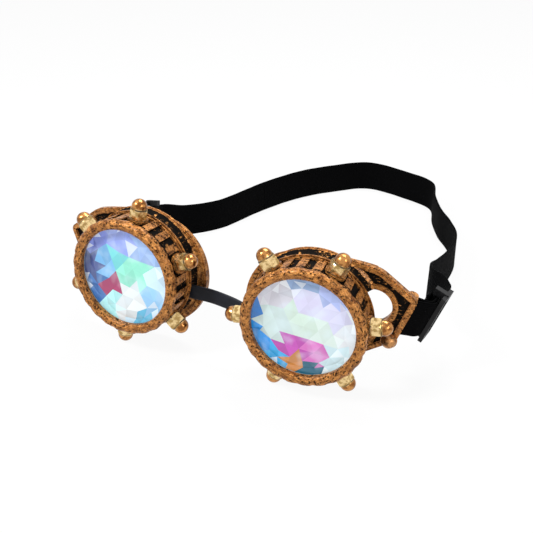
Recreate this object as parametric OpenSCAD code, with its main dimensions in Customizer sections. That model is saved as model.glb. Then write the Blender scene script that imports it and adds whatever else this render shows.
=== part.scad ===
// Steampunk goggles with two round eyecups, screw-on lens rings with six cap nuts each, faceted
// lenses, a soft bridge strip and an elastic head strap that two sliders adjust.
// Millimetres, +Z up. The goggles stand on a table as they were put down: each ring rests on its
// lowest cap nut and the strap stands behind on its edge. The wearer looks along -Y. The origin is
// on the table, under the middle of the box that the whole object fills.

/* [Lenses] */
// Diameter of each lens
lens_d = 51; // [48:1:53]
// Height of the round edge of a lens
lens_edge = 3; // [2:0.5:4]
// How far the ring's lip reaches over the lens
lens_cover = 1.1; // [0.8:0.1:1.6]
// Depth of the facets behind the lens's edge
pavilion_h = 4; // [2:0.5:6]
// Thickness of both lens gaskets
gasket_t = 0.6; // [0.4:0.1:1]

/* [Screw rings] */
// Wall of the eyecup's neck outside the lens
neck_wall = 1; // [0.9:0.1:1.4]
// Wall of the ring's skirt between its ribs
skirt_wall = 1; // [0.9:0.1:1.4]
// Length of the ring's skirt behind its lip
skirt_len = 12.3; // [11:0.1:14]
// Thickness of the ring's lip
lip_t = 2; // [1.6:0.1:2.4]
// Radius of the ring's round front rim
rim_r = 2.5; // [2.2:0.1:2.8]
// Height of a rib above the skirt
rib_h = 1.6; // [1.5:0.1:2.4]
// Width of a rib as an angle
rib_angle = 7.6; // [6:0.2:9]
// Places around a ring, of which every fourth holds a cap nut
ring_places = 24; // [24:4:28]
// Angle that the left ring stopped at when it was screwed on
left_ring_turn = 21.4; // [0:0.1:30]
// Angle that the right ring stopped at when it was screwed on
right_ring_turn = 4.4; // [0:0.1:30]

/* [Cap nuts] */
// Width of a cap nut across its flats
nut_af = 8; // [7:0.5:9]
// Height of a nut's six-sided part
nut_hex_h = 5.2; // [4.5:0.1:6]
// Diameter of a nut's dome
nut_dome_d = 7.4; // [6.6:0.1:7.8]
// Straight height of a nut's dome
nut_collar_h = 1; // [0.6:0.1:1.6]
// Diameter of the stud that holds a nut
stud_d = 4.8; // [4:0.2:5]

/* [Eyecups] */
// Distance from each lens's axis to the goggles' middle
cup_x = 47; // [46:0.5:52]
// How far one eyecup stands ahead of the middle and the other behind it
cup_stagger = 3.9; // [0:0.1:6]
// Angle that the left eyecup turns outwards
left_toe = 5.3; // [0:0.1:7]
// Angle that the right eyecup turns outwards
right_toe = 3.6; // [0:0.1:7]
// Angle that the left eyecup leans back
left_tilt = 3.5; // [0:0.1:5]
// Length of the neck behind the lens
neck_len = 13.2; // [13:0.1:15]
// Wall of the flared skirt
flare_wall = 1.8; // [1.4:0.1:2.2]
// Radius of the flare's curve
flare_r = 8.6; // [8:0.1:9.4]
// Reach of the rim above and below the axis
rim_reach = 29.8; // [29:0.1:31]
// Reach of the rim on the nose side
nose_reach = 33.8; // [32:0.1:35]
// Thickness of the strap ear's plate
ear_t = 3.2; // [2.6:0.1:4]
// Depth of the channel around the ear
ear_channel = 1.1; // [0.6:0.1:1.4]
// Width of the ear's raised outer edge
ear_edge = 2.8; // [2:0.1:3.2]
// Reach of the vent hole in the ear from the axis
vent_reach = 35.7; // [35:0.1:36]
// Radius of the vent hole
vent_r = 8.3; // [7.6:0.1:8.6]

/* [Strap pins] */
// Distance from a lens's axis to the middle of its strap pin
pin_reach = 39.6; // [39:0.1:41]
// Lean of the strap pin and the ear's end
pin_lean = 22; // [16:1:26]
// Diameter of the strap pin
pin_d = 2.4; // [2:0.1:2.8]
// Diameter of the domed rivet on the ear's lower corner
rivet_d = 7.6; // [6:0.2:8]

/* [Bridge strip] */
// Width of the bridge strip
bridge_w = 7.6; // [6:0.1:9]
// Thickness of the bridge strip
bridge_t = 1.6; // [1.2:0.1:2]
// How far the strip runs below the lens axes
bridge_drop = 7.5; // [5:0.5:9]

/* [Strap and sliders] */
// Width of the elastic strap
strap_w = 20; // [18:0.5:20]
// Thickness of the strap
strap_t = 1.3; // [1:0.1:1.5]
// Length of a slider across the strap
slider_w = 25.4; // [25:0.1:28]
// Length of a slider along the strap
slider_l = 12.5; // [11:0.5:14]
// Thickness of a slider's frame
slider_t = 2; // [1.6:0.1:2.4]
// Diameter of a slider's middle bar
slider_bar_d = 2.2; // [1.8:0.1:2.6]
// How far each slider can still move back along the strap
slide_travel = 4; // [3:0.5:6]

/* [Hidden] */
$fn = 96;

// Clearances: a running fit, a lens in its rebate, and soft parts beside rigid ones
run_fit = 0.05;
lens_fit = 0.1;
soft_gap = 0.3;
gasket_slack = 0.02;
seam_gap = 0.3;

// Each eyecup is drawn about its own axis, with +Z towards the front and +X towards the temple.
// Its height zero is the back of the ring's lip.
lens_r = lens_d / 2;
mouth_r = lens_r - lens_cover;
lens_z = -gasket_t;
seat_z = lens_z - lens_edge;
neck_end_z = seat_z - gasket_t - 1.2;
rebate_r = lens_r + lens_fit;
neck_r = rebate_r + neck_wall;
bore_r = lens_r - 2.2;
ring_bore_r = neck_r + run_fit;
skirt_r = ring_bore_r + skirt_wall;
rim_mid_r = skirt_r + 1.4 - rim_r;
rim_z = lip_t - 1.2;
pad_r = skirt_r + 1.5;

// Cap nuts
nut_count = ring_places / 4;
nut_step = 360 / nut_count;
nut_z = -6.2;
dome_r = nut_dome_d / 2;
dome_at = pad_r + nut_hex_h + nut_collar_h;
function hex_r(af) = af / 2 / cos(30);

// Height of an eyecup's axis when its ring stands on its lowest nut
function lowest(turn) = max([for (k = [0 : nut_count - 1]) -sin(k * nut_step + turn)]);
function toe(side) = side < 0 ? -left_toe : right_toe;
function tilt(side) = side < 0 ? left_tilt : 0;
function cup_z(side) =
    dome_at * lowest(ring_turn(side)) * cos(tilt(side)) - nut_z * sin(tilt(side)) + dome_r;

// Flare and ear, drawn from the neck's end backwards
flare_z = -neck_len;
flare_mid_r = neck_r + 0.8 + flare_r;
collar_r = skirt_r + 1.8;
collar_z = -skirt_len - 0.3;
ear_back_z = flare_z - flare_r - 0.6;
ear_front_z = ear_back_z + ear_t;
rim_back_z = flare_z - flare_r - 2;

// Strap pin: how far behind the ear it lies, and the lugs and the rivet that hold it
loop_r = pin_d / 2 + 0.15 + strap_t / 2;
pin_z = ear_back_z - loop_r - strap_t / 2 - soft_gap;
lug_t = 1.6;
lug_at = strap_w / 2 + soft_gap;
lug_r = pin_d / 2 + 1.1;
pin_end = lug_at + lug_t;
pin_cover = 0.6;
vent_back = 21;
vent_ridge = 2.6;
ear_end_half = 12.9;
corner_r = 3;
function along_pin(s) = [pin_reach + s * sin(pin_lean), s * cos(pin_lean)];
rivet_at = along_pin(-pin_end + 0.2);
rivet_shank_r = 1.2;
rivet_foot = pin_z + pin_d / 2 + 0.9;

// Doubled strap ends: how the two layers close up behind the pin, and the sewn turn in a slider
lead_len = 7.5;
layer_gap = strap_t + 0.25;
wrap_r = slider_bar_d / 2 + 0.1 + strap_t / 2;
end_len = slider_l / 2 + slide_travel + 1;
frame_off = layer_gap / 2 + strap_t / 2 + 0.15;

// Frame of an eyecup: side is -1 for the left one as seen from the front, 1 for the right one
module place(side) {
    translate([side * cup_x, -side * cup_stagger, cup_z(side)] - box_mid)
        rotate([0, 0, toe(side)])
            rotate([90 - tilt(side), 0, 0])
                mirror([side < 0 ? 1 : 0, 0, 0])
                    children();
}

// The same frame as a function of a point, and of a direction
function turned_in(side, p) =
    let (x = side * p[0], a = toe(side), b = tilt(side),
        y = -p[2] * cos(b) + p[1] * sin(b), z = p[1] * cos(b) + p[2] * sin(b))
    [x * cos(a) - y * sin(a), x * sin(a) + y * cos(a), z];
function placed(side, p) =
    [side * cup_x, -side * cup_stagger, cup_z(side)] + turned_in(side, p);

// Plane square to the strap pin: first coordinate outwards, second backwards
module pin_plane() {
    translate([along_pin(0)[0], along_pin(0)[1], pin_z])
        rotate([0, 0, -pin_lean])
            rotate([-90, 0, 0])
                children();
}
function in_pin_plane(p) =
    [along_pin(0)[0] + p[0] * cos(pin_lean), along_pin(0)[1] - p[0] * sin(pin_lean), pin_z - p[1]];
function pin_dir(side) = turned_in(side, [sin(pin_lean), cos(pin_lean), 0]);

// Eyecup: neck, collar, trumpet flare, trimmed rim, vented ear and pin lugs

// Half section of the round part, whose lens rebate is cut from the front
module cup_section() {
    difference() {
        union() {
            translate([bore_r, flare_z - 2]) square([neck_r - bore_r, lens_z - flare_z + 2]);
            translate([neck_r - 1, collar_z - 0.9]) square([collar_r - neck_r + 1, 0.9]);
            flare_section(flare_r + flare_wall);
        }
        translate([0, seat_z - gasket_t]) square([rebate_r, 20]);
        flare_section(flare_r);
    }
}

module flare_section(r) {
    intersection() {
        translate([flare_mid_r, flare_z]) circle(r);
        translate([bore_r, rim_back_z - 6]) square([flare_mid_r - bore_r, 6 + flare_z - rim_back_z]);
    }
}

// Space inside the flare, up to the middle of its wall
module flare_inside() {
    difference() {
        translate([0, rim_back_z - 6]) square([flare_mid_r, 6 + flare_z - rim_back_z]);
        translate([flare_mid_r, flare_z]) circle(flare_r + flare_wall / 2);
    }
}

// Outline of the ear with all its edges drawn in by inset
module ear_outline(inset) {
    top_end = along_pin(ear_end_half - corner_r);
    low_end = along_pin(corner_r - ear_end_half);
    hull() {
        circle(rim_reach - 0.6 - inset, $fn = 96);
        translate([24, 10.6]) circle(13.6 - inset, $fn = 64);
        translate(top_end) circle(corner_r - inset, $fn = 32);
        translate(low_end) circle(corner_r - inset, $fn = 32);
    }
}

// Round vent between the cup's side and the ear's end, grown by grow
module vent_outline(grow) {
    intersection() {
        translate([vent_reach - vent_r, 5.3]) circle(vent_r + grow);
        translate([vent_back - grow, -20]) square([30, 40]);
    }
}

// Outline of the whole rim: round above and below, further out at the nose, and the ear
module rim_outline(inset) {
    circle(rim_reach - inset);
    translate([-4.6, -1.5]) circle(nose_reach - 4.6 - inset);
    ear_outline(inset);
}

module cup_round() {
    intersection() {
        rotate_extrude() cup_section();
        translate([0, 0, rim_back_z - 6]) linear_extrude(40) rim_outline(0.3);
    }
}

// Raised edge along the whole rim, with its front corners taken off
module rim_edge() {
    for (step = [[ear_t - 0.6, 0, 0], [0.6, 0.5, ear_t - 0.6]])
        translate([0, 0, ear_back_z + step[2]]) linear_extrude(step[0]) difference() {
            rim_outline(step[1]);
            rim_outline(ear_edge - step[1]);
        }
}

module ear_plate() {
    difference() {
        union() {
            translate([0, 0, ear_back_z]) linear_extrude(ear_t - ear_channel) ear_outline(0.3);
            translate([0, 0, ear_back_z]) linear_extrude(ear_t - 0.3) intersection() {
                vent_outline(vent_ridge);
                ear_outline(ear_edge - 0.5);
            }
            rim_edge();
        }
        rotate_extrude() flare_inside();
    }
}

// Space behind the ear for the strap's turn round the pin
module loop_room() {
    reach = loop_r + strap_t / 2 + soft_gap + 0.2;
    pin_plane()
        translate([-reach, pin_z - ear_back_z, -lug_at])
            cube([2 * reach, 20, 2 * lug_at]);
}

module pin_lugs() {
    depth = ear_back_z - pin_z + 0.6;
    for (s = [-pin_end, lug_at])
        pin_plane()
            translate([0, 0, s])
                linear_extrude(lug_t) {
                    circle(lug_r);
                    translate([-lug_r, -depth]) square([2 * lug_r, depth]);
                }
}

module eyecup(side) {
    color("#8a5a33") place(side) difference() {
        union() {
            difference() {
                cup_round();
                loop_room();
            }
            ear_plate();
            pin_lugs();
        }
        translate([0, 0, rim_back_z - 6]) linear_extrude(flare_z - rim_back_z + 3.9) vent_outline(0);
        pin_plane() translate([0, 0, -30])
            cylinder(h = 30 + pin_end - pin_cover, r = pin_d / 2 + run_fit);
        translate([rivet_at[0], rivet_at[1], rivet_foot - 0.1])
            cylinder(h = 20, r = rivet_shank_r + run_fit);
        bridge_slot();
    }
}

// Slot through the neck's wall on the nose side, where the bridge strip comes in
bridge_z = (collar_z - 0.9 + flare_z - 2) / 2 - 1.4;
bead_half = bridge_w / 2 + 0.5;
bead_at = -sqrt(bore_r * bore_r - pow(bridge_drop + bead_half, 2)) + bridge_t + soft_gap;
module bridge_slot() {
    translate([-neck_r - 6, -bridge_drop - bridge_w / 2 - soft_gap, bridge_z - bridge_t / 2 - soft_gap])
        cube([neck_r + 6 + bead_at, bridge_w + 2 * soft_gap, bridge_t + 2 * soft_gap]);
}

// Lens: a round glass with a low crown in front and cut facets behind

module lens(side) {
    table_r = lens_r * 0.62;
    color("#9fd6e8") place(side) union() {
        translate([0, 0, seat_z]) cylinder(h = lens_edge, r = lens_r);
        translate([0, 0, lens_z]) cylinder(h = gasket_t - 0.3, r1 = mouth_r - 0.5, r2 = table_r, $fn = 12);
        translate([0, 0, seat_z]) rotate([180, 0, 0]) {
            cylinder(h = pavilion_h * 0.45, r1 = bore_r - 0.6, r2 = lens_r * 0.7, $fn = 12);
            translate([0, 0, pavilion_h * 0.45])
                cylinder(h = pavilion_h * 0.55, r1 = lens_r * 0.7, r2 = lens_r * 0.35, $fn = 6);
        }
    }
}

module gasket(inner_r, outer_r, z) {
    translate([0, 0, z]) difference() {
        cylinder(h = gasket_t - gasket_slack, r = outer_r);
        translate([0, 0, -1]) cylinder(h = gasket_t + 2, r = inner_r);
    }
}

module lens_seat(side) {
    color("#26221f") place(side) gasket(bore_r, lens_r, seat_z - gasket_t);
}

module lens_washer(side) {
    color("#26221f") place(side) gasket(mouth_r + 0.6, neck_r - 0.1, -gasket_t);
}

// Screw ring: round front rim, skirt, rear bead, ribs and a flat pad under each nut

module ring_section() {
    difference() {
        union() {
            translate([rim_mid_r, rim_z]) circle(rim_r);
            translate([mouth_r, 0]) square([rim_mid_r - mouth_r, lip_t]);
            translate([mouth_r, -skirt_len]) square([skirt_r - mouth_r, skirt_len + rim_z]);
            translate([skirt_r - 1, -skirt_len]) square([2.1, 0.9]);
        }
        translate([0, -skirt_len - 1]) square([ring_bore_r, skirt_len + 1]);
        translate([0, -20]) square([mouth_r, 40]);
    }
}

module rib_section() {
    rib_r = skirt_r + rib_h;
    intersection() {
        translate([rim_mid_r, rim_z]) circle(rib_r - rim_mid_r);
        translate([skirt_r - 0.5, rim_z]) square([6, 6]);
    }
    polygon([[skirt_r - 0.5, -skirt_len + 0.5], [rib_r - 0.7, -skirt_len + 0.5], [rib_r, rim_z],
             [skirt_r - 0.5, rim_z]]);
}

// A rib at every place between the nuts, with sides that narrow towards the ring's axis
module ribs() {
    half = tan(rib_angle / 2);
    intersection() {
        rotate_extrude() rib_section();
        linear_extrude(60, center = true)
            for (k = [0 : ring_places - 1]) if (k % 4 != 0)
                rotate(k * 360 / ring_places)
                    polygon([[20, -20 * half], [40, -40 * half], [40, 40 * half], [20, 20 * half]]);
    }
}

function ring_turn(side) = side < 0 ? left_ring_turn : right_ring_turn;

// Frame of a screwed-on ring, whose first nut is on +X
module place_ring(side) {
    place(side) rotate([0, 0, side * ring_turn(side)]) children();
}

// Children at the place of each nut, with +Z along the nut's axis away from the ring's axis
module at_nuts() {
    for (k = [0 : nut_count - 1])
        rotate([0, 0, k * nut_step])
            translate([0, 0, nut_z])
                rotate([0, 90, 0])
                    rotate([0, 0, 90])
                        children();
}

module screw_ring(side) {
    color("#b0703c") place_ring(side) difference() {
        union() {
            rotate_extrude() ring_section();
            ribs();
            at_nuts() translate([0, 0, skirt_r - 1]) cylinder(h = pad_r - skirt_r + 1, r = 4.9);
        }
        at_nuts() cylinder(h = 40, r = stud_d / 2 + run_fit);
    }
}

module ring_studs(side) {
    color("#7c6a42") place_ring(side) at_nuts()
        translate([0, 0, ring_bore_r + 0.1]) cylinder(h = pad_r + nut_hex_h - ring_bore_r, r = stud_d / 2);
}

module cap_nuts(side) {
    color("#d9b45b") place_ring(side) at_nuts() translate([0, 0, pad_r]) difference() {
        union() {
            intersection() {
                cylinder(h = nut_hex_h, r = hex_r(nut_af), $fn = 6);
                translate([0, 0, nut_hex_h / 2]) sphere(hex_r(nut_af) + 0.25);
            }
            cylinder(h = nut_hex_h + nut_collar_h, r = dome_r);
            translate([0, 0, nut_hex_h + nut_collar_h]) sphere(dome_r);
        }
        translate([0, 0, -1]) cylinder(h = nut_hex_h + 1.6, r = stud_d / 2 + run_fit);
    }
}

// Strap pin: a smooth rod in the ear's lugs, with a flat head on its lower end
module strap_pin(side) {
    color("#a8713a") place(side) pin_plane() {
        translate([0, 0, -pin_end - 0.4]) cylinder(h = 2 * pin_end + 0.3 - pin_cover, r = pin_d / 2);
        translate([0, 0, -pin_end - 0.8]) cylinder(h = 0.8, r = pin_d / 2 + 0.6);
    }
}

// Domed rivet that fastens the lower lug to the ear's corner
module ear_rivet(side) {
    dome = rivet_d / 2;
    color("#a8713a") place(side) translate([rivet_at[0], rivet_at[1], ear_front_z]) {
        translate([0, 0, rivet_foot - ear_front_z])
            cylinder(h = ear_front_z - rivet_foot + 0.5, r = rivet_shank_r);
        cylinder(h = 0.9, r = dome);
        intersection() {
            translate([0, 0, 0.9]) sphere(dome - 0.3);
            cylinder(h = 10, r = dome);
        }
    }
}

// Bands: soft strips swept along a line of points, as closed faceted solids

function unit(v) = v / norm(v);
function mix(a, b, t) = a + (b - a) * t;
function curve_at(p, i, t) =
    let (a = p[max(i - 1, 0)], b = p[i], c = p[i + 1], d = p[min(i + 2, len(p) - 1)])
    0.5 * ((2 * b) + (c - a) * t + (2 * a - 5 * b + 4 * c - d) * t * t
        + (3 * b - a - 3 * c + d) * t * t * t);
function smooth(p, n) = concat(
    [for (i = [0 : len(p) - 2], k = [0 : n - 1]) curve_at(p, i, k / n)], [p[len(p) - 1]]);
function path_dir(q, i) = unit(q[min(i + 1, len(q) - 1)] - q[max(i - 1, 0)]);
function square_to(v, d) = unit(v - (v * d) * d);

// A band through the points q, w wide along the directions wide and t thick
module band(q, wide, w, t) {
    n = len(q);
    points = [for (i = [0 : n - 1])
        let (d = path_dir(q, i), u = square_to(wide[i], d), s = cross(d, u))
        each [q[i] + u * w / 2 + s * t / 2, q[i] + u * w / 2 - s * t / 2,
              q[i] - u * w / 2 - s * t / 2, q[i] - u * w / 2 + s * t / 2]];
    faces = concat(
        [[3, 2, 1, 0]],
        [for (i = [0 : n - 2], k = [0 : 3], h = [0, 1])
            h == 0 ? [4 * i + k, 4 * i + 4 + (k + 1) % 4, 4 * i + 4 + k]
                : [4 * i + k, 4 * i + (k + 1) % 4, 4 * i + 4 + (k + 1) % 4]],
        [[4 * n - 4, 4 * n - 3, 4 * n - 2, 4 * n - 1]]);
    translate(-box_mid) polyhedron(points, faces, convexity = 10);
}

// Doubled strap ends. The right one turns outwards behind its pin and has its slider close by; the
// left one runs straight back to a slider that is let out further.

function turned(a, r) = [r * cos(a), r * sin(a)];
function arc(mid, r, a, b, n) = [for (i = [0 : n]) mid + turned(a + (b - a) * i / n, r)];

right_lead = 24;
right_slide = 80;
turn_r = 7;
turn_mid = turned(right_lead, lead_len) + turned(right_lead + 90, turn_r);
turn_end = turn_mid + turned(right_slide - 90, turn_r);
left_lead = 84;

// Where each slider sits: its middle on the line between the layers, and the strap's direction
right_slider_at = 5;
left_slider_mid = [-84, 99, 22.5];
left_slide_dir = unit([0.06, 0.96, -0.28]);
function to_world(side, p) = placed(side, in_pin_plane(p));
function slide_dir(side) = side < 0 ? left_slide_dir
    : unit(to_world(1, turn_end + turned(right_slide, 10)) - to_world(1, turn_end));
function slider_mid(side) = side < 0 ? left_slider_mid
    : to_world(1, turn_end + turned(right_slide, right_slider_at));
function slide_wide(side) = side < 0 ? square_to([-0.12, 0, 1], left_slide_dir) : pin_dir(1);
function slide_out(side) = side * cross(slide_dir(side), slide_wide(side));
function at_slider(side, out, along) =
    slider_mid(side) + out * slide_out(side) + along * slide_dir(side);

// Line between the two layers, from behind the pin to a distance d past the slider's middle
function lead(side) = side < 0 ? left_lead : right_lead;
function mid_line(side, d) = concat(
    [for (i = [1 : 3]) to_world(side, turned(lead(side), lead_len * i / 4))],
    side < 0
        ? smooth([to_world(side, turned(lead(side), lead_len)), [-87.2, 62, 33.5],
            at_slider(side, 0, -18), at_slider(side, 0, -13), at_slider(side, 0, -3)], 5)
        : [for (p = arc(turn_mid, turn_r, right_lead - 90, right_slide - 90, 8)) to_world(side, p)],
    [at_slider(side, 0, d)]);

// Width directions along such a line, which lean with the pin and turn to the slider's
function wide_line(side, q) =
    [for (i = [0 : len(q) - 1]) mix(pin_dir(side), slide_wide(side), min(1, max(0, i - 3) / 12))];
function layer(side, sign, q) =
    let (wide = wide_line(side, q))
    [for (i = [0 : len(q) - 1])
        let (d = path_dir(q, i), out = side * cross(d, square_to(wide[i], d)),
            open = mix(loop_r, layer_gap / 2, min(1, (i + 1) / 4)))
        q[i] + sign * open * out];
function pin_turn(side) = [for (p = arc([0, 0], loop_r, lead(side) - 90, lead(side) - 270, 14))
    to_world(side, p)];
function reversed(q) = [for (i = [len(q) - 1 : -1 : 0]) q[i]];

// Outer layer and its turn round the pin
module strap_end(side) {
    mid = mid_line(side, end_len);
    outer = reversed(layer(side, 1, mid));
    wide = reversed(wide_line(side, mid));
    turn = pin_turn(side);
    color("#17171a")
        band(concat(outer, turn), concat(wide, [for (p = turn) pin_dir(side)]), strap_w, strap_t);
}

// Inner layer from the pin back to the slider
module strap_return(side) {
    mid = mid_line(side, -seam_gap);
    inner = layer(side, -1, mid);
    start = pin_turn(side)[14];
    first = start + seam_gap * unit(inner[0] - start);
    color("#17171a")
        band(concat([first], inner), concat([pin_dir(side)], wide_line(side, mid)), strap_w, strap_t);
}

// End of the strap, sewn round the slider's middle bar
module sewn_end(side) {
    flat = concat(arc([-layer_gap / 2 - wrap_r, 0], wrap_r, 0, 180, 12),
        [[-layer_gap / 2 - 2 * wrap_r, -5]]);
    color("#17171a")
        band([for (p = flat) at_slider(side, p[0], p[1])], [for (p = flat) slide_wide(side)],
            strap_w, strap_t);
}

// Slider: a frame that lies outside the strap, with its middle bar stepped inwards
module slider(side) {
    bar_r = slider_bar_d / 2;
    slot_w = strap_w + 1;
    drop = frame_off + layer_gap / 2 + wrap_r;
    x = slide_out(side);
    y = side * slide_dir(side);
    z = slide_wide(side);
    o = at_slider(side, frame_off, 0) - box_mid;
    color("#101012")
        multmatrix([[x[0], y[0], z[0], o[0]], [x[1], y[1], z[1], o[1]], [x[2], y[2], z[2], o[2]],
                    [0, 0, 0, 1]]) {
            difference() {
                translate([0, -slider_l / 2, -slider_w / 2]) cube([slider_t, slider_l, slider_w]);
                translate([-1, -slider_l / 2 + 2.2, -slot_w / 2])
                    cube([slider_t + 2, slider_l - 4.4, slot_w]);
            }
            for (s = [-1, 1])
                translate([-drop - bar_r, -bar_r - 0.6, s * (slider_w + slot_w) / 4 - 1.6])
                    cube([drop + bar_r + slider_t, slider_bar_d + 1.2, 3.2]);
            translate([-drop, 0, -slot_w / 2 - 1]) cylinder(h = slot_w + 2, r = bar_r);
        }
}

// Bridge strip: through both neck slots, with a round bead inside each eyecup that holds it
module bridge_strip() {
    outside = -neck_r - 3;
    reaches = [bead_at, outside + 2.5, outside];
    left = [for (u = reaches) placed(-1, [u, -bridge_drop, bridge_z])];
    right = [for (u = reaches) placed(1, [u, -bridge_drop, bridge_z])];
    bow = [0, 2.2, 0];
    stations = smooth(concat(left, [mix(left[2], right[2], 0.3) + bow,
        mix(left[2], right[2], 0.7) + bow], reversed(right)), 6);
    color("#1b1d24") {
        band(stations, [for (p = stations) [0, 0, 1]], bridge_w, bridge_t);
        for (side = [-1, 1])
            place(side) translate([bead_at, -bridge_drop, bridge_z])
                rotate([90, 0, 0]) cylinder(h = 2 * bead_half, r = bridge_t, center = true);
    }
}

// Head strap: from the right strap end round the back of the head to the left one
strap_half = strap_w / 2;
strap_back = 254.2;
strap_route = [
    [94, 61, 29.5], [87.5, 71, 27], [84.5, 84, 23.5], [85, 100, 19], [86, 128, 13],
    [84.5, 155, strap_half], [77, 174, strap_half],
    [68, 190, strap_half], [60, 210, strap_half], [53, 233, strap_half], [34, 245, strap_half],
    [4, strap_back, strap_half], [-18, 239, strap_half], [-36, 219, strap_half],
    [-51, 190, strap_half], [-64, 154, strap_half], [-79, 131, 12]
];

// Middle of the whole object's box, which is put over the origin
front_reach = cup_stagger + rim_z + rim_r + (mouth_r + 2) * sin(right_toe);
left_reach = placed(-1, [along_pin(pin_end)[0], along_pin(pin_end)[1], pin_z])[0] - lug_r;
right_reach = at_slider(1, frame_off + slider_t, 0)[0] + slider_w / 2 * slide_wide(1)[0];
box_mid = [(right_reach + left_reach) / 2, (strap_back + strap_t / 2 - front_reach) / 2, 0];

module head_strap() {
    function free_end(side) =
        [for (d = [seam_gap, 2, 4.5]) at_slider(side, layer_gap / 2, end_len + d)];
    free = smooth(concat(free_end(1), strap_route, reversed(free_end(-1))), 5);
    q = [for (p = free) [p[0], p[1], max(p[2], strap_half)]];
    n = len(q) - 1;
    wide = [for (i = [0 : n])
        i < 25 ? mix(slide_wide(1), [0, 0, 1], max(0, i - 5) / 20)
        : i > n - 15 ? mix(slide_wide(-1), [0, 0, 1], max(0, n - i - 5) / 10) : [0, 0, 1]];
    color("#141416") band(q, wide, strap_w, strap_t);
}

eyecup(-1);  // left_eyecup
lens_seat(-1);  // left_lens_seat
lens(-1);  // left_lens
lens_washer(-1);  // left_lens_washer
screw_ring(-1);  // left_screw_ring
ring_studs(-1);  // left_ring_studs
cap_nuts(-1);  // left_cap_nuts
strap_pin(-1);  // left_strap_pin
ear_rivet(-1);  // left_ear_rivet
strap_end(-1);  // left_strap_end
strap_return(-1);  // left_strap_return
slider(-1);  // left_slider
sewn_end(-1);  // left_sewn_end
eyecup(1);  // right_eyecup
lens_seat(1);  // right_lens_seat
lens(1);  // right_lens
lens_washer(1);  // right_lens_washer
screw_ring(1);  // right_screw_ring
ring_studs(1);  // right_ring_studs
cap_nuts(1);  // right_cap_nuts
strap_pin(1);  // right_strap_pin
ear_rivet(1);  // right_ear_rivet
strap_end(1);  // right_strap_end
strap_return(1);  // right_strap_return
slider(1);  // right_slider
sewn_end(1);  // right_sewn_end
bridge_strip();
head_strap();
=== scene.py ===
"""Looks of the steampunk goggles: copper and brass finishes, iridescent faceted lenses and woven
elastic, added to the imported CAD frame. Sizes are in millimetres until a mesh is made."""

import math

import bmesh
import bpy
import numpy as np
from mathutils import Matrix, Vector
from mathutils.geometry import delaunay_2d_cdt


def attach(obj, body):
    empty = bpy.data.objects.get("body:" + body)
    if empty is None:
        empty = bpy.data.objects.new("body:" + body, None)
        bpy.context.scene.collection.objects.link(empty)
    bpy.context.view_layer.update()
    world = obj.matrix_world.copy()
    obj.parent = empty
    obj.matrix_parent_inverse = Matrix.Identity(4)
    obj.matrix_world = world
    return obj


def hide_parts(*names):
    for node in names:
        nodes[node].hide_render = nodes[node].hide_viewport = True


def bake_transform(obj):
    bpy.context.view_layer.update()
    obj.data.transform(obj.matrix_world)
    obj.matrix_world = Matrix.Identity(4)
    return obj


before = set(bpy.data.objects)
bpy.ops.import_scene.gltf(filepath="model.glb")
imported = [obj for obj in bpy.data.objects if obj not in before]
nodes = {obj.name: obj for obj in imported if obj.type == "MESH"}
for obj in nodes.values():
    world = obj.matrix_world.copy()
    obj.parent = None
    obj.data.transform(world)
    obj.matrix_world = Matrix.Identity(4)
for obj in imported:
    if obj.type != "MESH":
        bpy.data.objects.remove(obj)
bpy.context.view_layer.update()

MM = 0.001
LEFT, RIGHT = -1, 1
NAMES = {LEFT: "left", RIGHT: "right"}

# Middle of the whole box in the sketch plan's coordinates, which the strap's route is given in
BOX_MID = np.array([6.13359, 122.996, 0.0])

# Each eyecup's own frame: where its axis meets the back of the ring's lip, and its directions
CUPS = {
    LEFT: dict(
        origin=np.array([-53.1336, -119.096, 38.9658]),
        out=np.array([-0.995725, 0.0923706, 0.0]),
        up=np.array([0.00563909, 0.0607875, 0.998135]),
        front=np.array([-0.0921983, -0.993867, 0.0610485]),
        ring_turn=21.4,
    ),
    RIGHT: dict(
        origin=np.array([40.8664, -126.896, 35.5798]),
        out=np.array([0.998027, 0.0627905, 0.0]),
        up=np.array([0.0, 0.0, 1.0]),
        front=np.array([0.0627905, -0.998027, 0.0]),
        ring_turn=4.4,
    ),
}
AXES = {side: np.array([c["out"], c["up"], c["front"]]) for side, c in CUPS.items()}

# Sizes that follow the CAD source
STRAP_W, STRAP_T = 20.0, 1.3
BRIDGE_W, BRIDGE_T, BRIDGE_DROP = 7.6, 1.6, 7.5
BORE_R, NECK_R, RING_SKIRT_R, PAD_R = 23.3, 26.6, 27.65, 29.15
PIN_REACH, PIN_Z, PIN_LEAN = 39.6, -25.35, math.radians(22)
LOOP_R, LEAD_LEN, LAYER_GAP = 2.0, 7.5, STRAP_T + 0.25
WRAP_R = 1.1 + 0.1 + STRAP_T / 2
SLIDER_L, SLIDE_TRAVEL = 12.5, 4.0
END_LEN = SLIDER_L / 2 + SLIDE_TRAVEL + 1
SOFT_GAP, SEAM_GAP, SEAM_LAP = 0.3, 0.3, 0.1
LENS_R, LENS_Z, LENS_EDGE = 25.5, -0.6, 3.0
RIM_MID_R, RIM_MID_Z, RIM_R = 26.55, 0.8, 2.55

# Where the paint changes, in an eyecup's frame: the height of the screw ring's rear bead, the radius
# and height of the eyecup's collar, and the heights of the ear's raised edge and its channel's floor
BEAD_Z, COLLAR_R, COLLAR_Z, EDGE_Z, CHANNEL_Z = -11.35, 28.75, -14.1, -18.8, -20.05


# Places and paths


def in_cup(side, p):
    """Points of an eyecup's own frame (outwards, up, forwards) in the row frame."""
    return CUPS[side]["origin"] + np.asarray(p) @ AXES[side]


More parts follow.
